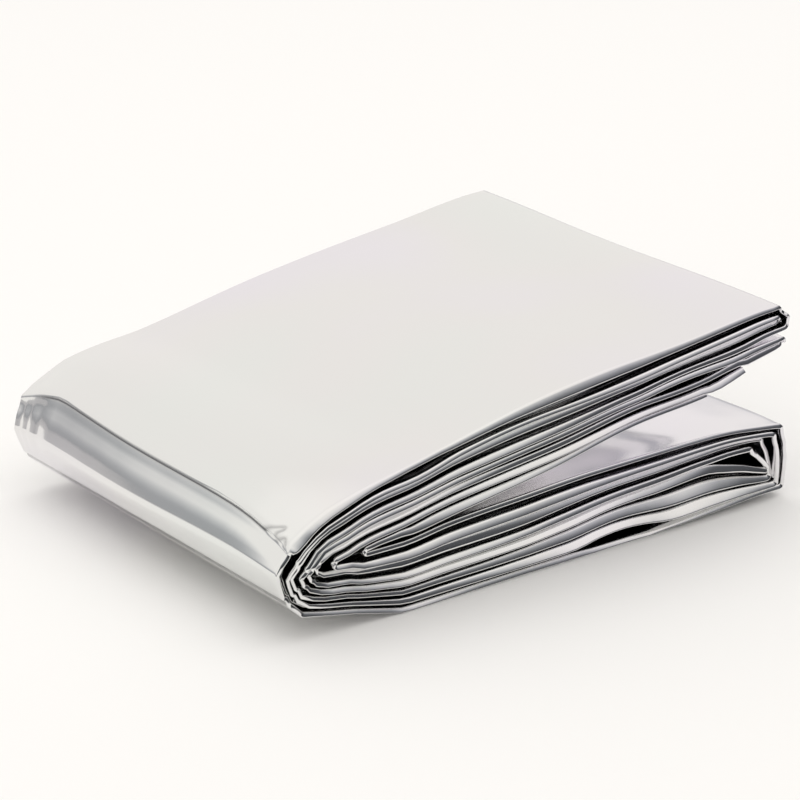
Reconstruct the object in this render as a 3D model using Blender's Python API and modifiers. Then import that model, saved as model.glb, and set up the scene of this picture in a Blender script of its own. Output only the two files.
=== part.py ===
"""Emergency foil blanket, folded into its pack and gaping at one end like a book.

The blanket is one thin film, 2.10 m by 1.60 m. It is halved four times across its width, which gives a
strip as wide as the pack, and the strip is then halved four times along its length, which gives sixteen
layers. The solid is that strip: one sheet whose section runs back and forth through the sixteen layers,
round the spine on the left and round the folds on the right.

Metres, +Z up. The long side runs along X with the spine at -X, the layered front faces -Y, and the pack
lies on z = 0 with the origin at the middle of its footprint.
"""
import bisect
import math

import bmesh
import bpy

# Driving sizes
PACK_WIDTH = 0.100          # width of the folded strip, front to back
SHEET = 0.0010              # thickness of one layer of the strip
SPINE_LAYERS = 8            # layers in each half of the pack
FLAT_FROM = 0.030           # the underside lies flat between these two distances from the spine
FLAT_TO = 0.093

# Unevenness
SLIP = 0.0006               # how far a layer's front edge may stand out or in
SLIP_TURN = 2.4             # sets each layer's own slip, in radians a layer
BACK_SLIP = 0.7             # share of the slip at the back edge
RIPPLE = 0.00012            # height of the slight waves in a layer
RIPPLE_LENGTH = 0.041
RIPPLE_SKEW = 0.35          # how far the waves run aslant
RIPPLE_TURN = 1.9           # sets each layer's own waves, in radians a layer
END_WAVE = 0.0005           # how far the folded ends wander along the width
END_WAVE_LENGTH = 0.083
END_WAVE_START = 0.6        # in radians, at the front

# The two outlines of each half, from the spine to the open end.
# columns: distance from the spine, height at the front, height at the back
TOP_OUTLINE = (
    (0.0000, 0.0190, 0.0200),
    (0.0028, 0.0203, 0.0217),
    (0.0077, 0.0234, 0.0246),
    (0.0124, 0.0256, 0.0271),
    (0.0195, 0.0276, 0.0290),
    (0.0315, 0.0302, 0.0314),
    (0.0607, 0.0364, 0.0378),
    (0.0815, 0.0393, 0.0414),
    (0.1010, 0.0411, 0.0443),
    (0.1240, 0.0438, 0.0478),
    (0.1330, 0.0441, 0.0483),
)
MOUTH_ROOF = (
    (0.0000, 0.0056, 0.0066),
    (0.0280, 0.0159, 0.0171),
    (0.0315, 0.0166, 0.0178),
    (0.0398, 0.0197, 0.0210),
    (0.0621, 0.0229, 0.0244),
    (0.0889, 0.0266, 0.0284),
    (0.1070, 0.0276, 0.0298),
    (0.1240, 0.0312, 0.0340),
    (0.1330, 0.0325, 0.0354),
)
MOUTH_FLOOR = (
    (0.0000, 0.0248, 0.0248),
    (0.0049, 0.0200, 0.0200),
    (0.0175, 0.0175, 0.0175),
    (0.0280, 0.0149, 0.0149),
    (0.0398, 0.0162, 0.0162),
    (0.0566, 0.0172, 0.0172),
    (0.0764, 0.0184, 0.0184),
    (0.1094, 0.0186, 0.0184),
    (0.1330, 0.0166, 0.0166),
)
UNDERSIDE = (
    (0.0000, 0.0100, 0.0094),
    (0.0049, 0.0053, 0.0053),
    (0.0175, 0.0028, 0.0028),
    (0.0284, 0.0000, 0.0000),
    (FLAT_FROM, 0.0000, 0.0000),
    (FLAT_TO, 0.0000, 0.0000),
    (0.1240, 0.0016, 0.0014),
    (0.1330, 0.0018, 0.0016),
)

# The top is pinched where the spine meets the front and the back, and stands higher in between.
# columns: distance from the front, rise of the top at the spine
SPINE_RISE = (
    (0.000, 0.0000),
    (0.008, 0.0026),
    (0.022, 0.0038),
    (0.050, 0.0046),
    (0.082, 0.0048),
    (0.094, 0.0034),
    (0.100, 0.0010),
)
SPINE_RISE_LENGTH = 0.0315  # the rise fades out over this distance from the spine

# Each layer runs around the spine with its partner in the other half.
# columns: layer in the lower half, layer in the upper half, how far in its bend lies
SPINE_BENDS = (
    (1, 16, 0.0004),
    (2, 15, 0.0021),
    (3, 14, 0.0037),
    (4, 13, 0.0054),
    (5, 12, 0.0078),
    (6, 11, 0.0138),
    (7, 10, 0.0207),
    (8, 9, 0.0285),
)
SPINE_BULGE = 0.0004        # how far a bend's middle stands out and its top leans in
SPINE_LOWER_CREASE = 0.0150  # height of the crease in the spine's face

# The folds at the open end, and the strip's two loose ends.
# columns: upper layer, lower layer, reach at the upper layer, reach at the lower layer, bulge
OPEN_END_FOLDS = (
    (8, 1, 0.1300, 0.1311, 0.0011),
    (7, 2, 0.1280, 0.1291, 0.0008),
    (6, 3, 0.1260, 0.1271, 0.0006),
    (5, 4, 0.1225, 0.1250, 0.0004),
    (16, 13, 0.1280, 0.1296, 0.0010),
    (15, 14, 0.1266, 0.1272, 0.0004),
    (12, 11, 0.1287, 0.1285, 0.0004),
)
# columns: layer, reach
LOOSE_ENDS = (
    (9, 0.1075),
    (10, 0.1175),
)

# Where neighbouring layers part into a hollow.
# columns: layer below the hollow, middle, half-length, how much wider than its neighbours
HOLLOWS = (
    (4, 0.1330, 0.0380, 14.0),
    (1, 0.0850, 0.0200, 2.2),
    (6, 0.0500, 0.0250, 1.2),
    (11, 0.1020, 0.0160, 2.0),
    (15, 0.0350, 0.0140, 2.2),
    (13, 0.0700, 0.0240, 1.3),
    (12, 0.1300, 0.0140, 1.6),
)
HOLLOW_FADE = 0.5           # a hollow loses this share of its height towards the back

# Places along a layer and across the strip where it may bend.
ALONG = (0.0049, 0.0077, 0.0124, 0.0175, 0.0240, FLAT_FROM, 0.0390, 0.0500, 0.0621,
         0.0760, FLAT_TO - 0.005, FLAT_TO, 0.1010, 0.1090, 0.1165, 0.1240)
ACROSS = tuple(row[0] for row in SPINE_RISE)
CLOSEST_BEND = 0.0009       # a bend is left out where it would lie closer than this to a layer's end

# The strip's way through the layers, from one loose end to the other.
STRIP_ORDER = (9, 8, 1, 16, 13, 4, 5, 12, 11, 6, 3, 14, 15, 2, 7, 10)

FILM_COLOUR = (0.80, 0.79, 0.80, 1.0)
FILM_ROUGHNESS = 0.18
SHARP_BEND = math.radians(35)  # bends sharper than this are shaded as creases


def mix(a, b, share):
    """Return the value that lies a share of the way from a to b."""
    return a + (b - a) * share


def read_row(table, place):
    """Return the table's columns after the first, read at a place between its rows."""
    places = [row[0] for row in table]
    place = min(max(place, places[0]), places[-1])
    right = min(max(bisect.bisect_left(places, place), 1), len(places) - 1)
    share = (place - places[right - 1]) / (places[right] - places[right - 1])
    return [mix(a, b, share) for a, b in zip(table[right - 1][1:], table[right][1:])]


def outline_height(table, x, y):
    """Return the height of an outline at a place on the pack."""
    front, back = read_row(table, x)
    return mix(front, back, y / PACK_WIDTH)


def spine_rise(x, y):
    """Return how far the top is lifted near the spine."""
    fade = max(0.0, 1.0 - x / SPINE_RISE_LENGTH)
    return read_row(SPINE_RISE, y)[0] * fade


def hollow_weights(first_layer, x, y):
    """Return the relative heights of the seven gaps above a half's first layer."""
    weights = [1.0] * (SPINE_LAYERS - 1)
    for layer, middle, half_length, extra in HOLLOWS:
        gap = layer - first_layer
        distance = abs(x - middle) / half_length
        if 0 <= gap < len(weights) and distance < 1.0:
            swell = math.cos(distance * math.pi / 2) ** 2
            weights[gap] += extra * swell * (1.0 - HOLLOW_FADE * y / PACK_WIDTH)
    return weights


def layer_height(layer, x, y):
    """Return the height of a layer's middle surface at a place on the pack."""
    if layer <= SPINE_LAYERS:
        first_layer = 1
        floor = outline_height(UNDERSIDE, x, y)
        roof = outline_height(MOUTH_FLOOR, x, y)
    else:
        first_layer = SPINE_LAYERS + 1
        lift = spine_rise(x, y)
        floor = outline_height(MOUTH_ROOF, x, y) + lift
        roof = outline_height(TOP_OUTLINE, x, y) + lift
    weights = hollow_weights(first_layer, x, y)
    free_height = roof - floor - SPINE_LAYERS * SHEET
    below = layer - first_layer
    gaps_below = free_height * sum(weights[:below]) / sum(weights)
    height = floor + SHEET / 2 + below * SHEET + gaps_below
    if 0 < below < SPINE_LAYERS - 1:
        turns = (x + y * RIPPLE_SKEW) / RIPPLE_LENGTH
        height += RIPPLE * math.sin(2 * math.pi * turns + layer * RIPPLE_TURN)
    return height


def end_wave(y):
    """Return how far the folded ends wander at a distance from the front."""
    return END_WAVE * math.sin(2 * math.pi * y / END_WAVE_LENGTH + END_WAVE_START)


def spine_bend(lower, upper, x, y):
    """Return the three points of a bend at the spine, from the lower layer to the upper one."""
    x += end_wave(y)
    low = layer_height(lower, x, y)
    high = layer_height(upper, x, y)
    if lower == 1:
        middle = SPINE_LOWER_CREASE
    else:
        middle = (low + high) / 2
    return [(x, low), (x - SPINE_BULGE, middle), (x + SPINE_BULGE, high)]


def open_end_fold(upper, lower, reach_up, reach_low, bulge, y):
    """Return the three points of a fold at the open end, from the lower layer to the upper one."""
    x_up = reach_up + end_wave(y)
    x_low = reach_low + end_wave(y)
    low = layer_height(lower, x_low, y)
    high = layer_height(upper, x_up, y)
    return [(x_low, low), ((x_up + x_low) / 2 + bulge, (low + high) / 2), (x_up, high)]


def layer_ends():
    """Return each layer's furthest left and right places."""
    ends = {}
    for lower, upper, x in SPINE_BENDS:
        ends[lower] = [x, None]
        ends[upper] = [x, None]
    for upper, lower, reach_up, reach_low, _ in OPEN_END_FOLDS:
        ends[upper][1] = reach_up
        ends[lower][1] = reach_low
    for layer, reach in LOOSE_ENDS:
        ends[layer][1] = reach
    return ends


def strip_section(y):
    """Return the section of the strip at a distance from the front, as (x, layer, height) points."""
    ends = layer_ends()
    bends = {}
    for lower, upper, x in SPINE_BENDS:
        points = spine_bend(lower, upper, x, y)
        bends[(lower, upper)] = points
        bends[(upper, lower)] = points[::-1]
    for upper, lower, reach_up, reach_low, bulge in OPEN_END_FOLDS:
        points = open_end_fold(upper, lower, reach_up, reach_low, bulge, y)
        bends[(lower, upper)] = points
        bends[(upper, lower)] = points[::-1]

    section = []
    for step, layer in enumerate(STRIP_ORDER):
        left, right = ends[layer]
        places = [x for x in ALONG if left + CLOSEST_BEND < x < right - CLOSEST_BEND]
        if step == 0:
            section.append((right, layer, layer_height(layer, right, y)))
        runs_left = step % 2 == 0
        if runs_left:
            places.reverse()
        section += [(x, layer, layer_height(layer, x, y)) for x in places]
        if step + 1 < len(STRIP_ORDER):
            onward = STRIP_ORDER[step + 1]
            corner_layers = (layer, (layer + onward) / 2, onward)
            corners = bends[(layer, onward)]
            section += [(x, at, z) for (x, z), at in zip(corners, corner_layers)]
        else:
            section.append((right, layer, layer_height(layer, right, y)))
    return section


def edge_slip(layer, y):
    """Return how far a layer is shifted along the width, so that the edges aren't quite flush."""
    share = mix(1.0, BACK_SLIP, y / PACK_WIDTH)
    return SLIP * math.sin(layer * SLIP_TURN) * share


def film_material():
    """Return the metallised film's material."""
    material = bpy.data.materials.new("metallised film")
    material.use_nodes = True
    surface = material.node_tree.nodes["Principled BSDF"]
    surface.inputs["Base Color"].default_value = FILM_COLOUR
    surface.inputs["Metallic"].default_value = 1.0
    surface.inputs["Roughness"].default_value = FILM_ROUGHNESS
    return material


def folded_strip(name):
    """Lay a grid along the strip's section and thicken it."""
    sections = [strip_section(y) for y in ACROSS]
    steps_along = len(sections[0]) - 1
    steps_across = len(ACROSS) - 1

    mesh = bpy.data.meshes.new(name)
    grid = bmesh.new()
    bmesh.ops.create_grid(grid, x_segments=steps_along, y_segments=steps_across, size=0.5)
    for vertex in grid.verts:
        along = round((vertex.co.x + 0.5) * steps_along)
        across = round((vertex.co.y + 0.5) * steps_across)
        x, layer, z = sections[across][along]
        y = ACROSS[across]
        vertex.co = (x, y + edge_slip(layer, y), z)
    for face in grid.faces:
        face.smooth = True
    grid.to_mesh(mesh)
    grid.free()
    mesh.set_sharp_from_angle(angle=SHARP_BEND)

    strip = bpy.data.objects.new(name, mesh)
    strip.data.materials.append(film_material())
    thickness = strip.modifiers.new("Layer thickness", "SOLIDIFY")
    thickness.thickness = SHEET
    thickness.offset = 0.0
    thickness.use_even_offset = True
    return strip


def centre_on_footprint(strip):
    """Place the strip so that the middle of its underside is at the origin."""
    bpy.context.view_layer.update()
    whole = strip.evaluated_get(bpy.context.evaluated_depsgraph_get()).to_mesh()
    low = [min(v.co[axis] for v in whole.vertices) for axis in range(3)]
    high = [max(v.co[axis] for v in whole.vertices) for axis in range(3)]
    strip.location = (-(low[0] + high[0]) / 2, -(low[1] + high[1]) / 2, -low[2])


def build():
    """Model the blanket in an empty scene."""
    for old in list(bpy.data.objects):
        bpy.data.objects.remove(old, do_unlink=True)
    pack = bpy.data.collections.new("emergency foil blanket")
    bpy.context.scene.collection.children.link(pack)
    strip = folded_strip("foil_blanket")
    pack.objects.link(strip)
    centre_on_footprint(strip)


build()
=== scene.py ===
# %% [markdown]
# # An emergency foil blanket in its folded pack
#
# The blanket is one thin sheet of metallised film. It is pleated across its width into a strip as wide as
# the pack, and the strip is halved four times along its length. The last fold is the spine on the left, and
# the two halves of the pack gape at the right like a book that is left ajar. This lesson makes the film the
# way it is made in life: as a flat sheet that is folded, first across and then along. The CAD frame gives
# the place and the size, and its plain solid is swapped for the film at the end.

# %% Load the frame
import math

import bmesh
import bpy
import numpy as np
from mathutils import Matrix, Vector, noise


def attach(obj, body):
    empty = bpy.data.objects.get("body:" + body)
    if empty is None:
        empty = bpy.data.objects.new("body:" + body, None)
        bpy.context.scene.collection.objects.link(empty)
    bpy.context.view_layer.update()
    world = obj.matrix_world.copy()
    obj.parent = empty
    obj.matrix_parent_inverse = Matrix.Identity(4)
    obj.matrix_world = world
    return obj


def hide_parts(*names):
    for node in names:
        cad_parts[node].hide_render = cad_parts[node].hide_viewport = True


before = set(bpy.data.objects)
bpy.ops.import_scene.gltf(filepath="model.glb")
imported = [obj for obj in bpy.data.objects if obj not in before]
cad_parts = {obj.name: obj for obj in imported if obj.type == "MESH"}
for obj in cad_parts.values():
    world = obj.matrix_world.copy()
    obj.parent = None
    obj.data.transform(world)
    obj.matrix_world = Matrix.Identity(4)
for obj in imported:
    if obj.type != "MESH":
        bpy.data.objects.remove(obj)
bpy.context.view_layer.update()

# %% [markdown]
# ## The camera
#
# A camera is easiest to place by the angle it looks from. The azimuth and the elevation give one direction,
# and the camera stands back along it from the point it aims at. A long lens a little over half a metre away
# gives the same gentle perspective as a product photograph.

# %% Place the camera
VIEW_AZIMUTH = math.radians(-36.63)
VIEW_ELEVATION = math.radians(19.44)
VIEW_DISTANCE = 0.560
VIEW_TARGET = Vector((0.01585, 0.02242, 0.0120))
LENS_MM = 111.0

towards_camera = Vector((
    math.sin(VIEW_AZIMUTH) * math.cos(VIEW_ELEVATION),
    -math.cos(VIEW_AZIMUTH) * math.cos(VIEW_ELEVATION),
    math.sin(VIEW_ELEVATION),
))
camera = bpy.data.objects.new("Camera", bpy.data.cameras.new("Camera"))
camera.data.lens = LENS_MM
camera.data.sensor_width = 36.0
camera.data.clip_start = 0.01
camera.location = VIEW_TARGET + towards_camera * VIEW_DISTANCE
camera.rotation_euler = towards_camera.to_track_quat("Z", "Y").to_euler()
bpy.context.scene.collection.objects.link(camera)
bpy.context.scene.camera = camera
print("camera at", [round(value, 3) for value in camera.location])

# %% [markdown]
# ## The light
#
# Polished film has hardly a colour of its own. It shows whatever stands around it, so the light is planned
# as things for the film to mirror: a white wall behind, a dim room in front that gives the folds their dark
# lines, and a big soft light overhead. The sky of the scene is a small node tree that turns the direction of
# a ray into a brightness.

# %% Light the room
WALL_BRIGHTNESS = 1.00
CEILING_BRIGHTNESS = 1.10
DIM_SIDE = (0.59, -0.80, 0.0)       # the way to the dim side of the room
DIM_SHARE = 0.90                    # how much of the light the dim side takes away
SKIRTING_SHARE = 0.60               # how much the low part of the wall takes away
# each range says where one part of the room fades into the next, by the height or the side of a direction
DIM_SIDE_RANGE = (0.0, 0.65)
DIM_TOP_RANGE = (0.24, 0.76)
SKIRTING_RANGE = (-0.02, 0.26)
CEILING_RANGE = (0.66, 0.92)
WALL_COLOUR = (1.0, 0.970, 0.940, 1.0)
DIM_COLOUR = (0.88, 0.92, 1.0, 1.0)
SOFTBOX_SIZE = 1.6
SOFTBOX_HEIGHT = 1.1
SOFTBOX_POWER = 2.5


def ramp(tree, value, low, high, to_low, to_high):
    """Add a node that maps one range of a value smoothly onto another."""
    node = tree.nodes.new("ShaderNodeMapRange")
    node.interpolation_type = "SMOOTHSTEP"
    node.inputs["From Min"].default_value = low
    node.inputs["From Max"].default_value = high
    node.inputs["To Min"].default_value = to_low
    node.inputs["To Max"].default_value = to_high
    tree.links.new(value, node.inputs["Value"])
    return node.outputs["Result"]


def multiply(tree, first, second):
    """Add a node that multiplies two values."""
    node = tree.nodes.new("ShaderNodeMath")
    node.operation = "MULTIPLY"
    tree.links.new(first, node.inputs[0])
    tree.links.new(second, node.inputs[1])
    return node.outputs[0]


def blend_colours(tree, share, first, second):
    """Add a node that blends two colours by a share."""
    node = tree.nodes.new("ShaderNodeMix")
    node.data_type = "RGBA"
    node.inputs["A"].default_value = first
    node.inputs["B"].default_value = second
    tree.links.new(share, node.inputs["Factor"])
    return node.outputs["Result"]


world = bpy.data.worlds.new("Soft white room")
world.use_nodes = True
bpy.context.scene.world = world
sky = world.node_tree
direction = sky.nodes.new("ShaderNodeTexCoord")
axes = sky.nodes.new("ShaderNodeSeparateXYZ")
sky.links.new(direction.outputs["Generated"], axes.inputs[0])
towards_dim = sky.nodes.new("ShaderNodeVectorMath")
towards_dim.operation = "DOT_PRODUCT"
towards_dim.inputs[1].default_value = DIM_SIDE
sky.links.new(direction.outputs["Generated"], towards_dim.inputs[0])
not_overhead = ramp(sky, axes.outputs["Z"], *DIM_TOP_RANGE, 1.0, 0.0)
on_dim_side = ramp(sky, towards_dim.outputs["Value"], *DIM_SIDE_RANGE, 0.0, 1.0)
dim_part = multiply(sky, on_dim_side, not_overhead)
past_dim = ramp(sky, dim_part, 0.0, 1.0, 1.0, 1.0 - DIM_SHARE)
past_skirting = ramp(sky, axes.outputs["Z"], *SKIRTING_RANGE, 1.0 - SKIRTING_SHARE, 1.0)
shade = multiply(sky, past_dim, past_skirting)
ceiling = ramp(sky, axes.outputs["Z"], *CEILING_RANGE, WALL_BRIGHTNESS, CEILING_BRIGHTNESS)
brightness = multiply(sky, shade, ceiling)
sky.links.new(brightness, sky.nodes["Background"].inputs["Strength"])
tint = blend_colours(sky, shade, DIM_COLOUR, WALL_COLOUR)
sky.links.new(tint, sky.nodes["Background"].inputs["Color"])

lamp = bpy.data.lights.new("Overhead softbox", "AREA")
lamp.shape = "SQUARE"
lamp.size = SOFTBOX_SIZE
lamp.energy = SOFTBOX_POWER
softbox = bpy.data.objects.new("Overhead softbox", lamp)
softbox.location = (0.05, 0.10, SOFTBOX_HEIGHT)
softbox.visible_glossy = False      # the film mirrors the even room, not the lamp's outline
bpy.context.scene.collection.objects.link(softbox)
print("room and softbox ready")

# %% [markdown]
# ## The floor
#
# A strip of pale paper runs away from the camera over a grey studio floor. The camera only sees the paper.
# The film sees both, and the grey on either side of the paper is what draws the band along the spine.

# %% Lay the floor
PAPER_HALF_WIDTH = 0.32
PAPER_HALF_LENGTH = 1.60
FLOOR_HALF_SIZE = 4.0
FLOOR_DROP = 0.0015
PAPER_COLOUR = (0.95, 0.95, 0.94, 1.0)
FLOOR_COLOUR = (0.52, 0.52, 0.54, 1.0)


def lay_floor(name, half_width, half_length, height, colour):
    """Lay a flat sheet that faces up, in line with the camera."""
    mesh = bpy.data.meshes.new(name)
    cells = bmesh.new()
    shape = Matrix.Translation((0.0, 0.0, height)) @ Matrix.Rotation(VIEW_AZIMUTH, 4, "Z")
    shape = shape @ Matrix.Diagonal((half_width, half_length, 1.0, 1.0))
    bmesh.ops.create_grid(cells, x_segments=1, y_segments=1, size=1.0, matrix=shape)
    cells.to_mesh(mesh)
    cells.free()
    matt = bpy.data.materials.new(name)
    matt.use_nodes = True
    matt.node_tree.nodes["Principled BSDF"].inputs["Base Color"].default_value = colour
    matt.node_tree.nodes["Principled BSDF"].inputs["Roughness"].default_value = 0.9
    mesh.materials.append(matt)
    lying = bpy.data.objects.new(name, mesh)
    bpy.context.scene.collection.objects.link(lying)


lay_floor("Pale paper", PAPER_HALF_WIDTH, PAPER_HALF_LENGTH, 0.0, PAPER_COLOUR)
lay_floor("Studio floor", FLOOR_HALF_SIZE, FLOOR_HALF_SIZE, -FLOOR_DROP, FLOOR_COLOUR)
bpy.context.scene.view_settings.view_transform = "Standard"
print("floor laid")

# %% [markdown]
# ## The sizes of the pack
#
# A short table gives each outline of the pack: how high it stands at the front and at the back, at a few
# distances from the spine. The upper half lies between the top and the roof of the gape, and the lower half
# between the floor of the gape and the underside. Everything else is worked out from these rows.

# %% Write down the outlines
PACK_WIDTH = 0.100
SHEET = 0.0010              # what one layer of the strip takes up
HALF_LAYERS = 8
FLAT_FROM = 0.030
FLAT_TO = 0.093
# columns: distance from the spine, height at the front, height at the back
TOP_OUTLINE = (
    (0.0000, 0.0190, 0.0200),
    (0.0028, 0.0203, 0.0217),
    (0.0077, 0.0234, 0.0246),
    (0.0124, 0.0256, 0.0271),
    (0.0195, 0.0276, 0.0290),
    (0.0315, 0.0302, 0.0314),
    (0.0607, 0.0364, 0.0378),
    (0.0815, 0.0393, 0.0414),
    (0.1010, 0.0411, 0.0443),
    (0.1240, 0.0438, 0.0478),
    (0.1330, 0.0441, 0.0483),
)
MOUTH_ROOF = (
    (0.0000, 0.0042, 0.0052),
    (0.0028, 0.0045, 0.0057),
    (0.0049, 0.0068, 0.0080),
    (0.0078, 0.0108, 0.0120),
    (0.0110, 0.0131, 0.0145),
    (0.0145, 0.0136, 0.0150),
    (0.0190, 0.0150, 0.0163),
    (0.0280, 0.0163, 0.0176),
    (0.0345, 0.0177, 0.0190),
    (0.0398, 0.0186, 0.0199),
    (0.0483, 0.0197, 0.0210),
    (0.0584, 0.0209, 0.0222),
    (0.0680, 0.0221, 0.0236),
    (0.0889, 0.0258, 0.0276),
    (0.1070, 0.0276, 0.0298),
    (0.1240, 0.0312, 0.0340),
    (0.1330, 0.0325, 0.0354),
)
MOUTH_FLOOR = (
    (0.0000, 0.0248, 0.0248),
    (0.0028, 0.0230, 0.0230),
    (0.0049, 0.0201, 0.0201),
    (0.0078, 0.0172, 0.0172),
    (0.0110, 0.0160, 0.0160),
    (0.0145, 0.0161, 0.0161),
    (0.0190, 0.0149, 0.0149),
    (0.0280, 0.0149, 0.0149),
    (0.0398, 0.0162, 0.0162),
    (0.0566, 0.0172, 0.0172),
    (0.0764, 0.0184, 0.0184),
    (0.1094, 0.0186, 0.0184),
    (0.1330, 0.0166, 0.0166),
)
UNDERSIDE = (
    (0.0000, 0.0100, 0.0094),
    (0.0049, 0.0053, 0.0053),
    (0.0175, 0.0028, 0.0028),
    (0.0284, 0.0000, 0.0000),
    (FLAT_FROM, 0.0000, 0.0000),
    (FLAT_TO, 0.0000, 0.0000),
    (0.1240, 0.0016, 0.0014),
    (0.1330, 0.0018, 0.0016),
)
# columns: distance from the front, rise of the top at the spine
SPINE_RISE = (
    (0.000, 0.0000),
    (0.008, 0.0019),
    (0.014, 0.0030),
    (0.022, 0.0037),
    (0.050, 0.0046),
    (0.082, 0.0050),
    (0.091, 0.0042),
    (0.100, 0.0021),
)
SPINE_RISE_LENGTH = 0.0315
# columns: distance from the spine, then how wide the lower half's gaps are under, at and over its big hollow
FAN = (
    (0.0600, 1.0, 1.0, 1.0),
    (0.0850, 1.4, 0.9, 0.9),
    (0.1060, 2.2, 0.7, 0.7),
    (0.1170, 1.7, 3.6, 0.5),
    (0.1260, 0.7, 7.0, 0.3),
    (0.1330, 0.5, 8.0, 0.3),
)
FAN_LAYER = 4               # the layer under the big hollow
# columns: layer below a wider gap, its middle, half-length, how much wider than its neighbours, and 1 where
# it stays open as a dark hollow or 0 where the film on its two sides fills it as a broad ribbon
WIDE_GAPS = (
    (1, 0.0850, 0.0160, 1.6, 1.0),
    (6, 0.0500, 0.0250, 0.7, 0.2),
    (11, 0.1020, 0.0160, 3.2, 1.0),
    (12, 0.1300, 0.0140, 1.6, 1.0),
    (13, 0.0560, 0.0300, 1.5, 0.0),
    (15, 0.0100, 0.0130, 1.6, 0.0),
    (15, 0.0330, 0.0095, 0.9, 1.0),
    (15, 0.0800, 0.0420, 1.7, 0.0),
)
GAP_FADE = 0.5
FLOOR_CROWN = 0.0003        # how much higher the floor of the gape lies behind its front edge
FLOOR_CROWN_REACH = 0.006
print("pack about", round(TOP_OUTLINE[-1][0], 3), "by", PACK_WIDTH, "by", TOP_OUTLINE[-1][2])

# %% [markdown]
# ## Reading an outline smoothly
#
# Straight runs between the rows would show as facets, because film mirrors every kink. A cubic curve through
# the rows is smooth, and the slopes are held back where the rows turn, so that the flat underside stays flat
# and no layer bulges through its neighbour.

# %% Read a table along a smooth curve


def smooth_curve(places, heights, at):
    """Return heights along a curve through the points that never overshoots them."""
    places = np.asarray(places)
    heights = np.asarray(heights)
    at = np.clip(at, places[0], places[-1])
    slopes = np.diff(heights) / np.diff(places)
    before, after = slopes[:-1], slopes[1:]
    total = np.where(before + after == 0, 1.0, before + after)
    inner = np.where(before * after > 0, 2 * before * after / total, 0.0)
    tangents = np.concatenate(([slopes[0]], inner, [slopes[-1]]))
    row = np.clip(np.searchsorted(places, at) - 1, 0, len(slopes) - 1)
    span = places[row + 1] - places[row]
    t = (at - places[row]) / span
    return (
        heights[row] * (1 + 2 * t) * (1 - t) ** 2
        + tangents[row] * span * t * (1 - t) ** 2
        + heights[row + 1] * t * t * (3 - 2 * t)
        + tangents[row + 1] * span * t * t * (t - 1)
    )


def outline(table, x, y, smooth=True):
    """Return an outline's heights at distances x from the spine and y from the front."""
    places, front, back = (np.array(column) for column in zip(*table))
    heights = front + (back - front) * y / PACK_WIDTH
    if smooth:
        return smooth_curve(places, heights, x)
    return np.interp(x, places, heights)


def spine_rise(x, y):
    """Return how far the top is lifted near the spine."""
    places, rises = zip(*SPINE_RISE)
    rise = float(smooth_curve(places, rises, y))
    return rise * np.clip(1.0 - x / SPINE_RISE_LENGTH, 0.0, 1.0)


print("top at the middle:", round(float(outline(TOP_OUTLINE, 0.065, 0.05)), 4))

# %% [markdown]
# ## The sixteen layers
#
# Each half holds eight layers of the strip, and the room that is left over becomes the gaps between them. A
# wide gap takes more than its share for some way along the strip. Some stay open as a dark hollow. Others are
# filled by the film on their two sides, which swells into them and shows a broad ribbon at the front.

# %% Find each layer's height and thickness
GAP = 0.00045               # air that is left beside a layer
MOST_SWELL = 0.0022         # the most that two layers swell into the gap between them
GAP_WANDER = 0.6            # how unevenly the air is shared out
GAP_WANDER_LENGTH = 0.030
SHARE_WANDER = 0.8          # how unevenly the room is shared among the gaps
SHARE_WANDER_LENGTH = 0.085
HOLLOW_HOLDS = 0.85         # how much of the swell a hollow holds back
FAN_EVENS = 0.4             # how far the fan of the lower half has evened out at the back
SAG_ONSET = 0.002
# columns: layer, where it has lost its neighbour and sags, where that ends, how far
SAGS = (
    (9, 0.0290, 0.0760, 0.0012),
    (10, 0.1068, 0.1195, 0.0013),
    (11, 0.1165, 0.1295, 0.0014),
)


def gap_swell(gap, held_open, under, x):
    """Return how much of the gap above a layer the film on its two sides swells into."""
    uneven = np.array([noise.noise(Vector((place / GAP_WANDER_LENGTH, under * 3.7, 0.5))) for place in x])
    return np.clip(gap - GAP * (1 + GAP_WANDER * uneven), 0.0, MOST_SWELL) * (1 - HOLLOW_HOLDS * held_open)


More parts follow.
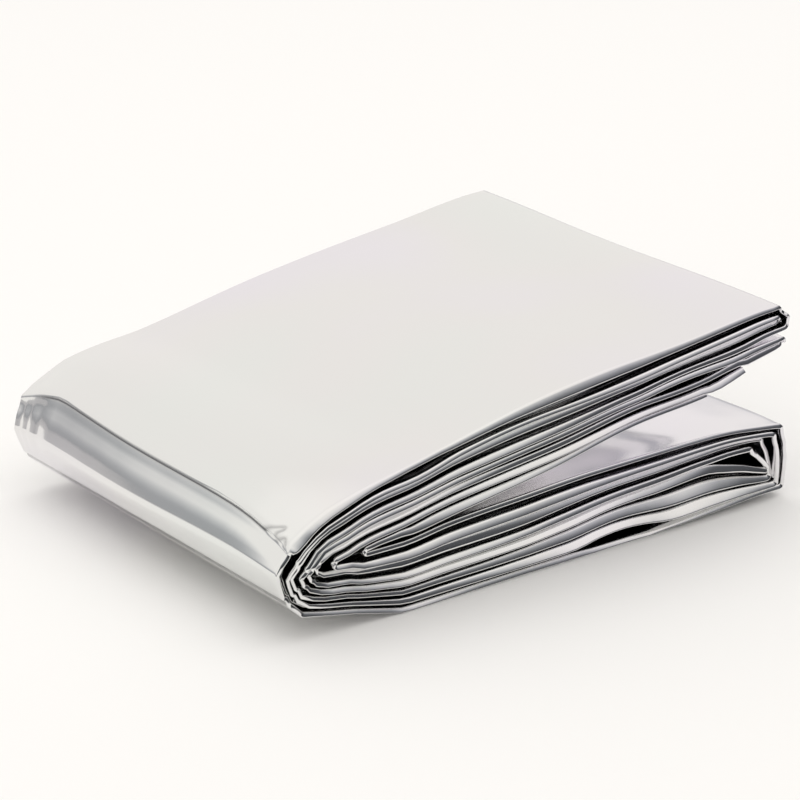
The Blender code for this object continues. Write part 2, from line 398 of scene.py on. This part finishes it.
def layer_at(layer, x, y):
    """Return a layer's height and thickness at distances x from the spine."""
    x = np.atleast_1d(np.asarray(x, dtype=float))
    lower_half = layer <= HALF_LAYERS
    if lower_half:
        first = 1
        bottom = outline(UNDERSIDE, x, y, smooth=False)
        top = outline(MOUTH_FLOOR, x, y) + FLOOR_CROWN * (1 - math.exp(-((y / FLOOR_CROWN_REACH) ** 2)))
    else:
        first = HALF_LAYERS + 1
        lift = spine_rise(x, y)
        bottom = outline(MOUTH_ROOF, x, y) + lift
        top = outline(TOP_OUTLINE, x, y) + lift
    shares = np.ones((HALF_LAYERS - 1, len(x)))
    for gap in range(HALF_LAYERS - 1):
        drift = [noise.noise(Vector((place / SHARE_WANDER_LENGTH, (first + gap) * 2.9, 4.2))) for place in x]
        shares[gap] += SHARE_WANDER * np.array(drift)
    if lower_half:
        fan = [smooth_curve([row[0] for row in FAN], [row[part] for row in FAN], x) for part in (1, 2, 3)]
        even = FAN_EVENS * y / PACK_WIDTH
        for gap in range(HALF_LAYERS - 1):
            part = 0 if gap + 1 < FAN_LAYER else 1 if gap + 1 == FAN_LAYER else 2
            shares[gap] *= fan[part] * (1 - even) + even
    held_open = np.zeros(shares.shape)
    if lower_half:
        held_open[FAN_LAYER - 1] = np.clip(fan[1] - 1.0, 0.0, 1.0)
    for under, middle, half_length, extra, stays_open in WIDE_GAPS:
        if first <= under < first + HALF_LAYERS - 1:
            reach = np.clip(np.abs(x - middle) / half_length, 0.0, 1.0)
            opening = np.cos(reach * math.pi / 2) ** 2 * (1.0 - GAP_FADE * y / PACK_WIDTH)
            shares[under - first] += extra * opening
            held = stays_open * np.clip(2 * opening, 0.0, 1.0)
            held_open[under - first] = np.maximum(held_open[under - first], held)
    gaps = (top - bottom - HALF_LAYERS * SHEET) * shares / shares.sum(axis=0)
    below = layer - first
    height = bottom + SHEET / 2 + below * SHEET + gaps[:below].sum(axis=0)
    swell_up = np.zeros(len(x))
    swell_down = np.zeros(len(x))
    if below < HALF_LAYERS - 1:
        swell_up = gap_swell(gaps[below], held_open[below], layer, x) / 2
    if below > 0:
        swell_down = gap_swell(gaps[below - 1], held_open[below - 1], layer - 1, x) / 2
    if layer == 2 * HALF_LAYERS:
        swell_down = 2 * swell_down
    if layer == 2 * HALF_LAYERS - 1:
        swell_up = 0 * swell_up
    for sagging, start, end, depth in SAGS:
        if layer == sagging:
            sag = np.clip((x - start) / SAG_ONSET, 0, 1) * np.clip((end - x) / (end - start), 0, 1)
            swell_down = swell_down + depth * sag
    return height + (swell_up - swell_down) / 2, SHEET + swell_up + swell_down


for layer in (1, 8, 9, 16):
    print("layer", layer, "at the middle:", round(float(layer_at(layer, 0.065, 0.05)[0][0]), 4))

# %% [markdown]
# ## The strip's way through the layers
#
# Halving a strip four times sends it through the layers in a fixed order. At the spine it turns from a layer
# in one half to its partner in the other, eight turns one inside the next. At the open end it turns inside
# each half. The path is drawn once for each place across the width, always with the same number of points,
# so that the points can be joined from front to back.

# %% Draw the strip's path
# columns: layer in the lower half, layer in the upper half, how far in its bend lies
SPINE_BENDS = (
    (1, 16, 0.0004),
    (2, 15, 0.0019),
    (3, 14, 0.0032),
    (4, 13, 0.0046),
    (5, 12, 0.0062),
    (6, 11, 0.0084),
    (7, 10, 0.0116),
    (8, 9, 0.0190),
)
# columns: upper layer, lower layer, reach at the upper layer, reach at the lower layer, bulge, thickness
OPEN_END_FOLDS = (
    (8, 1, 0.1300, 0.1311, 0.0009, 0.0013),
    (7, 2, 0.1272, 0.1284, 0.0006, 0.0015),
    (6, 3, 0.1243, 0.1272, 0.0004, 0.0015),
    (5, 4, 0.1208, 0.1262, 0.0003, 0.0014),
    (16, 13, 0.1280, 0.1296, 0.0010, 0.0010),
    (15, 14, 0.1266, 0.1272, 0.0004, 0.0008),
    (12, 11, 0.1287, 0.1285, 0.0004, 0.0009),
)
# columns: layer, reach
LOOSE_ENDS = (
    (9, 0.1075),
    (10, 0.1175),
)
STRIP_ORDER = (9, 8, 1, 16, 13, 4, 5, 12, 11, 6, 3, 14, 15, 2, 7, 10)
SPINE_LOWER_CREASE = 0.0150
SPINE_LEAN = 0.0019         # how far a bend at the spine leans in at its top
SPINE_LEAN_BACK = 0.0002    # the same at the pack's back corner
SPINE_LEAN_FADE = 0.086
SPINE_SLOPE = 0.33          # how steeply the top sets off from the spine
SPINE_BULGE_FRONT = 0.00095 # how far the outermost bend bulges at its crease
SPINE_BULGE_BACK = 0.0018
INNER_BULGE = 0.82          # each bend bulges by this share of the one around it
STATION = 0.0026            # spacing of the points along a layer
FINE_STATION = 0.00035      # closer points where the outer layers have small creases
FINE_FROM = 0.0007          # how far past the end of the spine's bend they begin on the top
FINE_TO = 0.0092
BEND_RADIUS = 0.0008
BEND_STEPS = 3
BEND_MARGIN = 0.0009
RADIUS_SHARE = 0.40         # the most of a turn's height that one of its corners may round
TURN_BELLY = 0.0005         # how far the flat parts of a turn swell outwards
FULL_BELLY_HEIGHT = 0.008   # turns lower than this swell less
FULL_LEAN_HEIGHT = 0.009    # turns lower than this lean less
LOWER_FACE = (0.5, 0.12)    # shares of the way down the lower flat part of a turn
# columns: way up the upper flat part of a turn, how far it swells as a share of the belly
UPPER_FACE = (
    (0.00, 0.00),
    (0.12, 0.11),
    (0.30, 0.28),
    (0.45, 0.40),
    (0.60, 0.24),
    (0.75, -0.02),
    (0.86, -0.10),
    (0.95, -0.05),
)
SPINE_CRISP = 0.45          # how much tighter the spine's upper crease is than other corners
SPINE_THICKNESS = 0.0010
EASE_STEPS = 3
END_WAVE = 0.0005
END_WAVE_LENGTH = 0.083
END_WAVE_START = 0.6


def end_wave(y):
    """Return how far the folded ends wander at a distance from the front."""
    return END_WAVE * math.sin(2 * math.pi * y / END_WAVE_LENGTH + END_WAVE_START)


def ease(values, steps):
    """Return values evened out over a few neighbours on each side."""
    padded = np.pad(values, steps, mode="edge")
    weights = np.hanning(2 * steps + 3)[1:-1]
    return np.convolve(padded, weights / weights.sum(), mode="valid")


def rounded_turn(x_low, x_high, low, high, side, middle, thickness, crisp=1.0, slope=0.0):
    """Return the points of a turn from a lower layer to an upper one; side is -1 at the spine."""
    radius = min(BEND_RADIUS, RADIUS_SHARE * (high - low))
    belly = TURN_BELLY * min(1.0, (high - low) / FULL_BELLY_HEIGHT) ** 2
    points = []
    for step in range(BEND_STEPS + 1):
        angle = math.pi / 2 * step / BEND_STEPS
        points.append((x_low - side * radius * (1 - math.sin(angle)), low + radius * (1 - math.cos(angle))))
    lower_foot = points[-1]
    radius *= crisp
    upper_foot = (x_high, high - radius)
    for share in LOWER_FACE:
        points.append((
            middle[0] + (lower_foot[0] - middle[0]) * share + side * belly * share * (1 - share),
            middle[1] + (lower_foot[1] - middle[1]) * share,
        ))
    for share, swell in UPPER_FACE:
        points.append((
            middle[0] + (upper_foot[0] - middle[0]) * share + side * belly * swell,
            middle[1] + (upper_foot[1] - middle[1]) * share,
        ))
    for step in range(BEND_STEPS + 1):
        angle = math.pi / 2 + (math.atan(slope) - math.pi / 2) * step / BEND_STEPS
        points.append((x_high - side * radius * (1 - math.sin(angle)), high - radius * (1 - math.cos(angle))))
    return [(x, z, thickness) for x, z in points]


def spine_bend(lower, upper, x, y):
    """Return the points of a bend at the spine, from the lower layer to the upper one."""
    x += end_wave(y)
    low = float(layer_at(lower, x, y)[0][0])
    high = float(layer_at(upper, x, y)[0][0])
    lean = np.interp(y, (SPINE_LEAN_FADE, PACK_WIDTH), (SPINE_LEAN, SPINE_LEAN_BACK))
    lean *= min(1.0, (high - low) / FULL_LEAN_HEIGHT)
    high = float(layer_at(upper, x + lean, y)[0][0])
    middle_height = SPINE_LOWER_CREASE if lower == 1 else (low + high) / 2
    bulge = SPINE_BULGE_FRONT + (SPINE_BULGE_BACK - SPINE_BULGE_FRONT) * y / PACK_WIDTH
    bulge *= INNER_BULGE ** (lower - 1)
    crisp = SPINE_CRISP if lower == 1 else 1.0
    middle = (x - bulge, middle_height)
    return rounded_turn(x, x + lean, low, high, -1, middle, SPINE_THICKNESS, crisp, SPINE_SLOPE)


def open_end_fold(upper, lower, reach_up, reach_low, bulge, thickness, y):
    """Return the points of a fold at the open end, from the lower layer to the upper one."""
    x_up = reach_up + end_wave(y)
    x_low = reach_low + end_wave(y)
    low = float(layer_at(lower, x_low, y)[0][0])
    high = float(layer_at(upper, x_up, y)[0][0])
    middle = ((x_up + x_low) / 2 + bulge, (low + high) / 2)
    return rounded_turn(x_low, x_up, low, high, 1, middle, thickness)


def strip_path(y):
    """Return the strip's path at a distance from the front: x, z, thickness and layer at each point."""
    turns = {}
    left_end = {}
    right_end = dict(LOOSE_ENDS)
    for lower, upper, x in SPINE_BENDS:
        turn = spine_bend(lower, upper, x, y)
        turns[(lower, upper)] = turn
        turns[(upper, lower)] = turn[::-1]
        left_end[lower] = x
        left_end[upper] = x + SPINE_LEAN
    for upper, lower, *shape in OPEN_END_FOLDS:
        turn = open_end_fold(upper, lower, *shape, y)
        turns[(lower, upper)] = turn
        turns[(upper, lower)] = turn[::-1]
        right_end[upper] = shape[0]
        right_end[lower] = shape[1]
    path = []
    for step, layer in enumerate(STRIP_ORDER):
        left = left_end[layer] + BEND_RADIUS + BEND_MARGIN
        right = right_end[layer] - BEND_RADIUS - BEND_MARGIN
        count = max(2, round((right - left) / STATION) + 1)
        places = np.linspace(left, right, count)
        if layer in (1, 2 * HALF_LAYERS):
            begin = left if layer == 1 else left_end[layer] + FINE_FROM
            places = np.concatenate((np.arange(begin, FINE_TO, FINE_STATION), places[places > FINE_TO]))
        heights, thicknesses = layer_at(layer, places, y)
        run = [(x, z, t, layer) for x, z, t in zip(places, heights, thicknesses)]
        if step == 0 or step + 1 == len(STRIP_ORDER):
            end = right_end[layer]
            height, thickness = layer_at(layer, end, y)
            run.append((end, height[0], thickness[0], layer))
        if step % 2 == 0:
            run.reverse()
        path += run
        if step + 1 < len(STRIP_ORDER):
            onward = STRIP_ORDER[step + 1]
            turn = turns[(layer, onward)]
            for place, (x, z, thickness) in enumerate(turn):
                at_layer = layer if place < len(turn) / 2 else onward
                path.append((x, z, thickness, at_layer))
    path = np.array(path)
    path[:, 2] = ease(path[:, 2], EASE_STEPS)
    return path


front_path = strip_path(0.0)
steps_along = len(front_path) - 1
run_length = np.concatenate(([0.0], np.cumsum(np.hypot(*np.diff(front_path[:, :2], axis=0).T))))
print("points along the strip:", len(front_path), "length:", round(float(run_length[-1]), 3))

# %% [markdown]
# ## The pleats across the width
#
# The film crosses the strip's width several times. A pair of crossings meets in a fold at the front, and the
# pairs are joined by one broad fold at the back. The fold edges are what the photograph shows as bright and
# dark ribbons, so each is a small rounded turn, and how the layer's thickness is shared between them wanders
# along the strip. The points lie closest together near the front, where a crease ends in a small curl.

# %% Plan the columns of the flat sheet
CROSSINGS = 4
OUTER_STATIONS = (0.0, 0.0005, 0.0009, 0.0013, 0.0017, 0.0021, 0.0025, 0.0029, 0.0033, 0.0037, 0.0041,
                  0.0045, 0.0049, 0.0053, 0.0058, 0.0064, 0.0070, 0.0076, 0.0086, 0.0102, 0.0124,
                  0.0152, 0.0190, 0.0240, 0.0296, 0.0356, 0.0420, 0.0484, 0.0548, 0.0612,
                  0.0676, 0.0736, 0.0788, 0.0830, 0.0862, 0.0888, 0.0908, 0.0924, 0.0938, 0.0950, 0.0960,
                  0.0969, 0.0978, 0.0986, 0.0993, 0.1000)
INNER_STATIONS = (0.0, 0.0014, 0.0042, 0.0114, 0.0356, 0.0676, 0.0926, 0.1000)
# columns: way across a fold from its inner crossing to its outer one, how far it bulges there
FRONT_TURN = (
    (-0.985, 0.38),
    (-0.93, 0.68),
    (-0.84, 0.87),
    (-0.70, 0.96),
    (-0.50, 1.00),
    (0.50, 1.00),
    (0.70, 0.96),
    (0.84, 0.87),
    (0.93, 0.68),
    (0.985, 0.38),
)
BACK_TURN = ((-0.86, 0.38), (0.0, 0.50), (0.86, 0.38))
TURN_DEPTH = 0.0007         # how far a fold bulges beyond the straight edge
PAIR_GAP = 0.08             # share of a layer's thickness between its two front folds
BACK_GAP = 0.12             # share of a layer's thickness that is left on each side of its back fold
EDGE_REACH = 0.004          # how deep into the pack an uneven edge fades
WANDER_GAIN = 1.6           # brings the noise up to about -1 to 1

columns = []
for crossing in range(CROSSINGS):
    stations = OUTER_STATIONS if crossing == 0 else INNER_STATIONS
    to_front = crossing % 2 == 0
    for y in sorted(stations, reverse=to_front):
        columns.append({"crossing": crossing, "y": y, "turn": None})
    if crossing + 1 < CROSSINGS:
        for turn in FRONT_TURN if to_front else BACK_TURN:
            edge = 0.0 if to_front else PACK_WIDTH
            columns.append({"crossing": crossing, "y": edge, "turn": turn})
print("columns across the sheet:", len(columns))


def wander(seed, wavelength):
    """Return a smooth random run from -1 to 1 along the strip."""
    return np.array([
        noise.noise(Vector((s / wavelength, seed * 7.31, seed * 3.17))) for s in run_length
    ]) * WANDER_GAIN


# %% [markdown]
# ## Folding the sheet
#
# The sheet starts as a flat grid, which is the film as it is cut. Each of its points is then carried to its
# place: along the path by its row, and across the pack and through the layer's thickness by its column.
# Because it stays one grid, the result is one unbroken sheet, however often it is folded. The front edges
# lean back a little, so that they mirror the room and not only the floor, and the outermost layer rolls over
# the front as one broad ribbon.

# %% Fold the film
paths = {}
for column in columns:
    if column["y"] not in paths:
        points = strip_path(column["y"])
        tangent = np.gradient(points[:, :2], axis=0)
        tangent /= np.linalg.norm(tangent, axis=1)[:, None]
        outward = np.stack((-tangent[:, 1], tangent[:, 0]), axis=1)
        paths[column["y"]] = (points[:, :2], outward, points[:, 2])

SLIP = 0.0006               # how far the layers have slipped past one another
SLIP_TURN = 2.4
LEAST_FRONT_SHARE = 0.70    # share of a layer's thickness that its outer pair of crossings takes at the front
MOST_FRONT_SHARE = 0.95
FRONT_SHARE = 0.98
FRONT_SHARE_WANDER = 0.25
SHARE_LENGTH = 0.055
OUTER_EDGE_WANDER = 0.0004
OUTER_EDGE_LENGTH = 0.045
INNER_EDGE_IN = 0.0006      # how far the inner pair's fold lies behind the outer one
INNER_EDGE_EXTRA = 0.0030
# columns: first crossing of the pair, how far its front fold leans back, seed and length of its wander
FOLD_LEANS = (
    (0, 0.58, 5, 0.050),
    (2, 0.46, 6, 0.045),
)
LEAN_WANDER = 0.28
# painted shade: faces that lie between the layers are darkened, from these distances in from the front and
# back edges, fading out towards the open end
INSIDE_FROM_FRONT = 0.0008  # how far behind the front edge the inside begins to darken
INSIDE_FROM_BACK = 0.0040
INSIDE_FADE = 0.0030
INSIDE_END = 0.106          # towards the open end the layers fan out, and the light gets in
INSIDE_END_FADE = 0.010
OPEN_LAYERS = (1, 8, 9, 16) # the layers whose outer crossing is seen: underside, gape and top
TOP_FRONT_SHARE = 0.93
TOP_LEAN = 0.56
SPINE_TOP_LEAN = 0.28       # how much more it rolls near the spine
SPINE_TOP_REACH = 0.018
CREASE_STEP = 6             # points from the start of the upper half's bend to its crease
GROOVE = 0.00012            # depth of the crease along the top of the spine
CREASE_WIDTH = 0.00015
CREASE_FRONT_END = 0.0066
CREASE_FRONT_FADE = 0.0016
CREASE_BACK_END = 0.0960
CREASE_BACK_FADE = 0.006
# columns: distance from the front, distance past the crease, along the small curl that the crease ends in
CURL = (
    (0.0080, 0.0001),
    (0.0068, 0.0008),
    (0.0054, 0.0018),
    (0.0042, 0.0028),
    (0.0035, 0.0031),
    (0.0033, 0.0026),
    (0.0038, 0.0018),
    (0.0043, 0.0010),
    (0.0042, 0.0005),
    (0.0034, 0.0004),
    (0.0026, 0.0007),
    (0.0019, 0.0013),
    (0.0014, 0.0015),
    (0.0009, 0.0011),
    (0.0005, 0.0005),
)
CURL_SAMPLES = 150
CURL_EASE = 5
CURL_REACH = 0.0095
CURL_WIDTH = 0.00036
CURL_DEPTH = 0.00009
# the next value says how much painted shade darkens the small creases of the curl
CURL_PAINTED_SHADE = 0.45
# columns: distance from the front, width, depth of each pleat at the back corner of the spine
PLEATS = (
    (0.0984, 0.0009, 0.00040),
    (0.0956, 0.0010, 0.00042),
    (0.0915, 0.0015, 0.00055),
)
PLEAT_LENGTH = 0.0082
CREASE_ROOM = 0.66          # share of the layer's thickness that is kept clear under the creases
CREASE_ROOM_REACH = 0.0008


def bump_at(value, middle, width):
    """Return 1 at the middle, fading to 0 at a few widths away."""
    return np.exp(-(((value - middle) / width) ** 2))


layers = front_path[:, 3]
# rows counted from the spine's upper crease, which is where the outermost layer begins
crease_row = int(np.argmax(layers == 2 * HALF_LAYERS)) + CREASE_STEP
past_crease = run_length - run_length[crease_row]
slip = SLIP * np.sin(layers * SLIP_TURN)
front_share = FRONT_SHARE + FRONT_SHARE_WANDER * wander(1, SHARE_LENGTH)
front_share = np.clip(front_share, LEAST_FRONT_SHARE, MOST_FRONT_SHARE)
back_gap = BACK_GAP * np.clip(1.0 + 0.8 * wander(2, SHARE_LENGTH), 0.2, 1.8)
upright = np.sin(math.pi * np.clip(-past_crease / PLEAT_LENGTH, 0.0, 1.0))
creased = np.clip(4 * upright + 2 * bump_at(past_crease, 0.0, CREASE_ROOM_REACH), 0.0, 1.0)
back_gap += (CREASE_ROOM - back_gap) * creased
crowding = (front_share - LEAST_FRONT_SHARE) / (MOST_FRONT_SHARE - LEAST_FRONT_SHARE)
edge_in = {
    0: OUTER_EDGE_WANDER * wander(3, OUTER_EDGE_LENGTH),
    2: INNER_EDGE_IN + INNER_EDGE_EXTRA * crowding,
}
lean = {}
for pair, middle_lean, seed, length in FOLD_LEANS:
    lean[pair] = middle_lean + LEAN_WANDER * wander(seed, length)
# the outermost layer rolls over the edge as one broad ribbon
outermost = ease((layers == 2 * HALF_LAYERS).astype(float), EASE_STEPS)
front_share = front_share + (TOP_FRONT_SHARE - front_share) * outermost
top_lean = TOP_LEAN + SPINE_TOP_LEAN * bump_at(past_crease, 0.0, SPINE_TOP_REACH)
lean[0] = lean[0] + (top_lean - lean[0]) * outermost


curl_steps = np.linspace(0, len(CURL) - 1, CURL_SAMPLES)
curl_y, curl_past = (ease(np.interp(curl_steps, range(len(CURL)), axis), CURL_EASE) for axis in zip(*CURL))


def creases(y):
    """Return the depth of small creases in the outer crossing, and their share of painted shade, for every
    row.
    """
    from_front = min(1.0, max(0.0, y - CREASE_FRONT_END) / CREASE_FRONT_FADE)
    from_back = min(1.0, max(0.0, CREASE_BACK_END - y) / CREASE_BACK_FADE)
    groove = bump_at(past_crease, 0.0, CREASE_WIDTH) * from_front * from_back
    pucker = np.zeros(len(past_crease))
    if y < CURL_REACH:
        away = np.hypot(past_crease[:, None] - curl_past, y - curl_y).min(axis=1)
        pucker = bump_at(away, 0.0, CURL_WIDTH)
    pleats = sum(depth * bump_at(y, place, width) for place, width, depth in PLEATS) * upright
    return GROOVE * groove + CURL_DEPTH * pucker + pleats, np.clip(groove + CURL_PAINTED_SHADE * pucker, 0.0, 1.0)


def crossing_heights(above, between):
    """Return each crossing's place in the layer's thickness, from -0.5 to 0.5, outer side first."""
    outer = np.full(len(above), 0.5)
    return (outer, outer - above, outer - above - between, -outer)


front_heights = crossing_heights(front_share * (1 - PAIR_GAP), PAIR_GAP)
back_heights = crossing_heights(back_gap, 1 - BACK_GAP - np.maximum(back_gap, BACK_GAP))


def column_points(column):
    """Return where one column of the sheet goes, for every row of the sheet."""
    centres, outward, thickness = paths[column["y"]]
    crossing = column["crossing"]
    share = column["y"] / PACK_WIDTH
    here = front_heights[crossing] * (1 - share) + back_heights[crossing] * share
    y = np.full(len(here), column["y"]) + slip
    if column["turn"] is None:
        through = here * thickness
        if crossing == 0:
            through = through - creases(column["y"])[0]
    else:
        heights = front_heights if crossing % 2 == 0 else back_heights
        side = -1.0 if crossing % 2 == 0 else 1.0
        start, end = heights[crossing] * thickness, heights[crossing + 1] * thickness
        swing, bulge = column["turn"]
        through = (start + end) / 2 - (start - end) / 2 * swing
        y += side * np.minimum(np.abs(start - end) / 2, TURN_DEPTH) * bulge
    pair = 0 if crossing < 2 else 2
    near_front = math.exp(-column["y"] / EDGE_REACH)
    y += (edge_in[pair] + lean[pair] * through * outward[:, 1]) * near_front
    return np.stack((
        centres[:, 0] + outward[:, 0] * through,
        y,
        centres[:, 1] + outward[:, 1] * through,
    ), axis=1)


folded = [column_points(column) for column in columns]
# painted shade: a dark line along the crease at the top of the spine and along the small curl
painted_crease_shade = [np.zeros(len(front_path)) for column in columns]
for number, column in enumerate(columns):
    if column["crossing"] == 0 and column["turn"] is None:
        painted_crease_shade[number] = creases(column["y"])[1]


def painted_shade_depth(column):
    """Return the share of painted shade, from 0 in the open to 1 deep between the layers, for every row."""
    behind_edge = min(column["y"] - INSIDE_FROM_FRONT, PACK_WIDTH - column["y"] - INSIDE_FROM_BACK)
    covered = np.ones(len(front_path))
    if column["crossing"] == 0:
        covered[np.isin(layers, OPEN_LAYERS)] = 0.0
    covered *= np.clip((INSIDE_END - front_path[:, 0]) / INSIDE_END_FADE, 0.0, 1.0)
    return covered * min(1.0, max(0.0, behind_edge / INSIDE_FADE))


painted_inside_shade = [painted_shade_depth(column) for column in columns]
print("folded", len(columns) * len(front_path), "points")

# %% Build the folded film
centre = Vector((-0.065837, -0.049882, 0.0))   # moves the spine's frame to the middle of the footprint
film_mesh = bpy.data.meshes.new("Folded_film")
sheet = bmesh.new()
bmesh.ops.create_grid(sheet, x_segments=len(columns) - 1, y_segments=steps_along, size=0.5)
uv_layer = sheet.loops.layers.uv.new("Flat sheet")
# the dark line of painted shade along the creases
painted_crease_shade_layer = sheet.verts.layers.float.new("Crease_painted_shade")
# the painted shade of the faces between the layers
painted_inside_shade_layer = sheet.verts.layers.float.new("Inside")
CUT_WIDTH = CROSSINGS * PACK_WIDTH
CUT_LENGTH = float(run_length[-1])
for face in sheet.faces:
    face.smooth = True
    for loop in face.loops:
        flat = loop.vert.co
        loop[uv_layer].uv = ((flat.x + 0.5) * CUT_WIDTH, (flat.y + 0.5) * CUT_LENGTH)
for vertex in sheet.verts:
    across = round((vertex.co.x + 0.5) * (len(columns) - 1))
    along = round((vertex.co.y + 0.5) * steps_along)
    vertex.co = Vector(folded[across][along]) + centre
    vertex[painted_crease_shade_layer] = painted_crease_shade[across][along]
    vertex[painted_inside_shade_layer] = painted_inside_shade[across][along]
sheet.to_mesh(film_mesh)
sheet.free()
film = bpy.data.objects.new("Folded_film", film_mesh)
bpy.context.scene.collection.objects.link(film)
print("triangles:", 2 * len(film_mesh.polygons))

# %% [markdown]
# ## The metallised film
#
# The finish is bare metal a few atoms deep on clear film, so the material is a metal with a low roughness.
# Four small things keep it from looking like solid steel. The film is never quite flat, so a faint crumple
# bends what it mirrors. The thin coat shows a breath of green and lilac, as oil does on water. Along a sharp
# crease a dark line of painted shade is laid on the colour, and the film is made duller there. And light dies
# between the layers: the real pack holds four films for each one made here, so the faces that lie inside are
# darkened with painted shade.

# %% Make the film's material
FILM_COLOUR = (0.79, 0.785, 0.78, 1.0)
GREEN_COLOUR = (0.775, 0.795, 0.78, 1.0)
LILAC_COLOUR = (0.79, 0.77, 0.815, 1.0)
# painted shade: the dark line along the crease and its curl
PAINTED_CREASE_SHADE_COLOUR = (0.10, 0.10, 0.11, 1.0)
# painted shade: the faces that lie between the layers
PAINTED_SHADE_INSIDE_COLOUR = (0.30, 0.30, 0.32, 1.0)
FILM_ROUGHNESS = 0.10
CREASE_ROUGHNESS = 0.5
COAT_SCALE = 16.0
CRUMPLE_SCALE = 38.0
CRUMPLE_DEPTH = 0.00022

metal = bpy.data.materials.new("Metallised film")
metal.use_nodes = True
tree = metal.node_tree
shader = tree.nodes["Principled BSDF"]
shader.inputs["Metallic"].default_value = 1.0

place = tree.nodes.new("ShaderNodeTexCoord")
crumple = tree.nodes.new("ShaderNodeTexNoise")
crumple.inputs["Scale"].default_value = CRUMPLE_SCALE
crumple.inputs["Detail"].default_value = 2.0
tree.links.new(place.outputs["Object"], crumple.inputs["Vector"])
bump = tree.nodes.new("ShaderNodeBump")
bump.inputs["Distance"].default_value = CRUMPLE_DEPTH
bump.inputs["Strength"].default_value = 1.0
tree.links.new(crumple.outputs["Fac"], bump.inputs["Height"])
tree.links.new(bump.outputs["Normal"], shader.inputs["Normal"])

coat = tree.nodes.new("ShaderNodeTexNoise")
coat.inputs["Scale"].default_value = COAT_SCALE
coat.inputs["Detail"].default_value = 1.0
tree.links.new(place.outputs["Object"], coat.inputs["Vector"])
tints = tree.nodes.new("ShaderNodeValToRGB")
tints.color_ramp.elements[0].position = 0.32
tints.color_ramp.elements[0].color = GREEN_COLOUR
tints.color_ramp.elements[1].position = 0.68
tints.color_ramp.elements[1].color = LILAC_COLOUR
middle_tint = tints.color_ramp.elements.new(0.50)
middle_tint.color = FILM_COLOUR
tree.links.new(coat.outputs["Fac"], tints.inputs["Fac"])


def lay_over(below, attribute, colour):
    """Blend a colour over another where an attribute of the sheet says so."""
    share = tree.nodes.new("ShaderNodeAttribute")
    share.attribute_name = attribute
    blend = tree.nodes.new("ShaderNodeMix")
    blend.data_type = "RGBA"
    blend.inputs["B"].default_value = colour
    tree.links.new(share.outputs["Fac"], blend.inputs["Factor"])
    tree.links.new(below, blend.inputs["A"])
    return blend.outputs["Result"], share.outputs["Fac"]


# painted shade darkens the faces that lie between the layers
shaded = lay_over(tints.outputs["Color"], "Inside", PAINTED_SHADE_INSIDE_COLOUR)[0]
# painted shade darkens the crease and its curl into a dark line, which is also made duller
coat_colour, painted_crease_share = lay_over(shaded, "Crease_painted_shade", PAINTED_CREASE_SHADE_COLOUR)
tree.links.new(coat_colour, shader.inputs["Base Color"])
roughness = ramp(tree, painted_crease_share, 0.0, 1.0, FILM_ROUGHNESS, CREASE_ROUGHNESS)
tree.links.new(roughness, shader.inputs["Roughness"])
film_mesh.materials.append(metal)
print("material ready:", metal.name)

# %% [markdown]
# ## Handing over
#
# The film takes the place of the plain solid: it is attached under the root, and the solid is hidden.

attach(film, "root")
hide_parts("foil_blanket")
